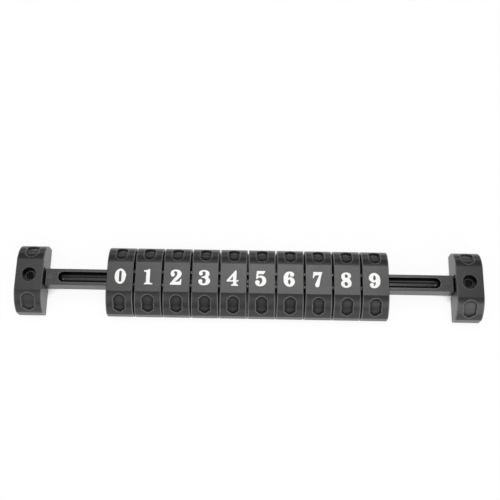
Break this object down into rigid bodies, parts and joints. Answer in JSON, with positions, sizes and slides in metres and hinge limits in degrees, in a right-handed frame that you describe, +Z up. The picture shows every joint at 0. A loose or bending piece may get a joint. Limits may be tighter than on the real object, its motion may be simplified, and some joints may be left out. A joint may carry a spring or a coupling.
{
  "type": "foosball score counter",
  "caption": "Table football score counter: number blocks that slide along a grooved rail between two screw-down end brackets.",
  "frame": {"origin": "on the table surface, midway between the end brackets and midway front to back", "axes": "+X along the rail from the zero towards the nine, +Y away from the reader, +Z up out of the table"},
  "size_m": [0.254, 0.0382, 0.0155],
  "materials": {
    "black_plastic": "satin",
    "white_numerals": "satin"
  },
  "bodies": {
    "frame": {"rail": "black_plastic", "end_bracket_left": "black_plastic", "end_bracket_right": "black_plastic"},
    "counter_0": {"counter_0": "black_plastic", "numeral_0": "white_numerals"},
    "counter_1": {"counter_1": "black_plastic", "numeral_1": "white_numerals"},
    "counter_2": {"counter_2": "black_plastic", "numeral_2": "white_numerals"},
    "counter_3": {"counter_3": "black_plastic", "numeral_3": "white_numerals"},
    "counter_4": {"counter_4": "black_plastic", "numeral_4": "white_numerals"},
    "counter_5": {"counter_5": "black_plastic", "numeral_5": "white_numerals"},
    "counter_6": {"counter_6": "black_plastic", "numeral_6": "white_numerals"},
    "counter_7": {"counter_7": "black_plastic", "numeral_7": "white_numerals"},
    "counter_8": {"counter_8": "black_plastic", "numeral_8": "white_numerals"},
    "counter_9": {"counter_9": "black_plastic", "numeral_9": "white_numerals"}
  },
  "joints": [
    {"name": "counter_0_slide", "type": "slide", "parent": "counter_1", "child": "counter_0", "axis": [-1, 0, 0], "range_m": [-0.0004, 0.0068]},
    {"name": "counter_1_slide", "type": "slide", "parent": "counter_2", "child": "counter_1", "axis": [-1, 0, 0], "range_m": [-0.0004, 0.0068]},
    {"name": "counter_2_slide", "type": "slide", "parent": "counter_3", "child": "counter_2", "axis": [-1, 0, 0], "range_m": [-0.0004, 0.0068]},
    {"name": "counter_3_slide", "type": "slide", "parent": "counter_4", "child": "counter_3", "axis": [-1, 0, 0], "range_m": [-0.0004, 0.0068]},
    {"name": "counter_4_slide", "type": "slide", "parent": "frame", "child": "counter_4", "axis": [-1, 0, 0], "range_m": [-0.0002, 0.0068]},
    {"name": "counter_5_slide", "type": "slide", "parent": "frame", "child": "counter_5", "axis": [1, 0, 0], "range_m": [-0.0002, 0.0071]},
    {"name": "counter_6_slide", "type": "slide", "parent": "counter_5", "child": "counter_6", "axis": [1, 0, 0], "range_m": [-0.0004, 0.0071]},
    {"name": "counter_7_slide", "type": "slide", "parent": "counter_6", "child": "counter_7", "axis": [1, 0, 0], "range_m": [-0.0004, 0.0071]},
    {"name": "counter_8_slide", "type": "slide", "parent": "counter_7", "child": "counter_8", "axis": [1, 0, 0], "range_m": [-0.0004, 0.0071]},
    {"name": "counter_9_slide", "type": "slide", "parent": "counter_8", "child": "counter_9", "axis": [1, 0, 0], "range_m": [-0.0004, 0.0071]}
  ]
}
